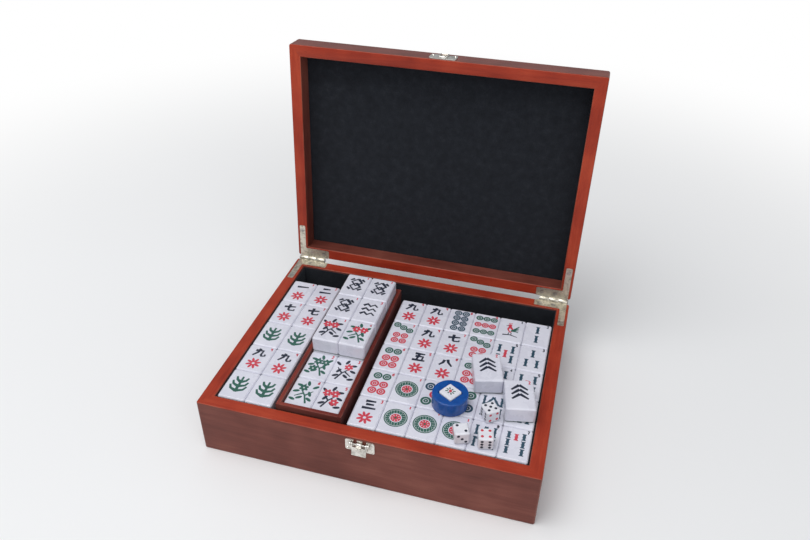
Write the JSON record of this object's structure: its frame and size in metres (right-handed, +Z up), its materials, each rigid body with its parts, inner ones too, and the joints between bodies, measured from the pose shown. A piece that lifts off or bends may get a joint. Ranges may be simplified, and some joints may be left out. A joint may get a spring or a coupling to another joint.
{
  "type": "mahjong case",
  "caption": "Hinged wooden case holding a mahjong set: stacked tiles in black-lined wells, a lift-out tray of tiles, a wind marker in its round holder and dice, with a draw latch.",
  "frame": {"origin": "centre of the case's underside, on the surface it stands on", "axes": "+X to the right along the front, +Y to the back, +Z up"},
  "size_m": [0.236, 0.221, 0.231],
  "materials": {
    "case_wood": "satin mahogany stain",
    "tray_wood": "satin mahogany stain",
    "felt": "black felt",
    "hardware": "warm nickel plate",
    "tile": "polished white melamine",
    "holder": "blue moulded plastic",
    "dice": "white moulded plastic"
  },
  "bodies": {
    "base": {"base_front_wall": "case_wood", "base_back_wall": "case_wood", "base_left_wall": "case_wood", "base_right_wall": "case_wood", "base_floor_panel": "case_wood", "base_floor_lining": "felt", "base_front_lining": "felt", "base_back_lining": "felt", "base_left_lining": "felt", "base_right_lining": "felt", "left_hinge_base_leaf": "hardware", "right_hinge_base_leaf": "hardware", "left_hinge_pin": "hardware", "right_hinge_pin": "hardware", "base_hinge_screws": "hardware", "latch_plate": "hardware", "latch_plate_nails": "hardware", "latch_pin": "hardware"},
    "lid": {"lid_front_rail": "case_wood", "lid_back_rail": "case_wood", "lid_left_rail": "case_wood", "lid_right_rail": "case_wood", "lid_top_panel": "case_wood", "lid_lining": "felt", "left_hinge_lid_leaf": "hardware", "right_hinge_lid_leaf": "hardware", "lid_hinge_screws": "hardware", "catch_plate": "hardware", "catch_plate_nails": "hardware"},
    "latch_lever": {"latch_lever": "hardware"},
    "latch_loop": {"latch_loop": "hardware"},
    "tray": {"tray_left_side": "tray_wood", "tray_right_side": "tray_wood", "tray_front_end": "tray_wood", "tray_back_end": "tray_wood", "tray_bottom": "tray_wood"},
    "tray_lower_layer": {"tray_tiles_lower": "tile"},
    "tray_middle_layer": {"tray_tiles_middle": "tile"},
    "tray_upper_layer": {"tray_tiles_upper": "tile"},
    "left_lower_layer": {"left_tiles_lower": "tile"},
    "left_middle_layer": {"left_tiles_middle": "tile"},
    "left_upper_layer": {"left_tiles_upper": "tile"},
    "right_lower_layer": {"right_tiles_lower": "tile"},
    "right_middle_layer": {"right_tiles_middle": "tile"},
    "right_upper_layer": {"right_tiles_upper": "tile"},
    "back_loose_tile": {"loose_tile_back": "tile"},
    "front_loose_tile": {"loose_tile_front": "tile"},
    "holder": {"wind_holder": "holder"},
    "wind_cube": {"wind_die": "dice"},
    "die_front_left": {"die_front_left": "dice"},
    "die_front_right": {"die_front_right": "dice"},
    "die_back": {"die_back": "dice"}
  },
  "joints": [
    {"name": "lid_hinge", "type": "hinge", "parent": "base", "child": "lid", "pos_m": [0, 0.0933, 0.0452], "axis": [-1, 0, 0], "range_deg": [-94.5, 0]},
    {"name": "latch_lever_turn", "type": "hinge", "parent": "base", "child": "latch_lever", "pos_m": [0, -0.0929, 0.0413], "axis": [-1, 0, 0], "range_deg": [0, 95]},
    {"name": "latch_loop_turn", "type": "hinge", "parent": "lid", "child": "latch_loop", "pos_m": [0, 0.11026, 0.23009], "axis": [-1, 0, 0], "range_deg": [-165.96, 0]},
    {"name": "tray_lift", "type": "slide", "parent": "base", "child": "tray", "axis": [0, 0, 1], "range_m": [0, 0.045]},
    {"name": "tray_lower_lift", "type": "slide", "parent": "tray", "child": "tray_lower_layer", "axis": [0, 0, 1], "range_m": [0, 0.045]},
    {"name": "tray_middle_lift", "type": "slide", "parent": "tray_lower_layer", "child": "tray_middle_layer", "axis": [0, 0, 1], "range_m": [0, 0.03]},
    {"name": "tray_upper_lift", "type": "slide", "parent": "tray_middle_layer", "child": "tray_upper_layer", "axis": [0, 0, 1], "range_m": [0, 0.02]},
    {"name": "left_lower_lift", "type": "slide", "parent": "base", "child": "left_lower_layer", "axis": [0, 0, 1], "range_m": [0, 0.045]},
    {"name": "left_middle_lift", "type": "slide", "parent": "left_lower_layer", "child": "left_middle_layer", "axis": [0, 0, 1], "range_m": [0, 0.03]},
    {"name": "left_upper_lift", "type": "slide", "parent": "left_middle_layer", "child": "left_upper_layer", "axis": [0, 0, 1], "range_m": [0, 0.02]},
    {"name": "right_lower_lift", "type": "slide", "parent": "base", "child": "right_lower_layer", "axis": [0, 0, 1], "range_m": [0, 0.045]},
    {"name": "right_middle_lift", "type": "slide", "parent": "right_lower_layer", "child": "right_middle_layer", "axis": [0, 0, 1], "range_m": [0, 0.03]},
    {"name": "right_upper_lift", "type": "slide", "parent": "right_middle_layer", "child": "right_upper_layer", "axis": [0, 0, 1], "range_m": [0, 0.02]},
    {"name": "back_loose_tile_lift", "type": "slide", "parent": "right_upper_layer", "child": "back_loose_tile", "axis": [0, 0, 1], "range_m": [0, 0.02]},
    {"name": "front_loose_tile_lift", "type": "slide", "parent": "right_upper_layer", "child": "front_loose_tile", "axis": [0, 0, 1], "range_m": [0, 0.02]},
    {"name": "holder_lift", "type": "slide", "parent": "right_upper_layer", "child": "holder", "axis": [0, 0, 1], "range_m": [0, 0.02]},
    {"name": "wind_cube_lift", "type": "slide", "parent": "holder", "child": "wind_cube", "axis": [0, 0, 1], "range_m": [0, 0.016]},
    {"name": "die_front_left_lift", "type": "slide", "parent": "right_upper_layer", "child": "die_front_left", "axis": [0, 0, 1], "range_m": [0, 0.02]},
    {"name": "die_front_right_lift", "type": "slide", "parent": "right_upper_layer", "child": "die_front_right", "axis": [0, 0, 1], "range_m": [0, 0.02]},
    {"name": "die_back_lift", "type": "slide", "parent": "right_upper_layer", "child": "die_back", "axis": [0, 0, 1], "range_m": [0, 0.02]}
  ]
}
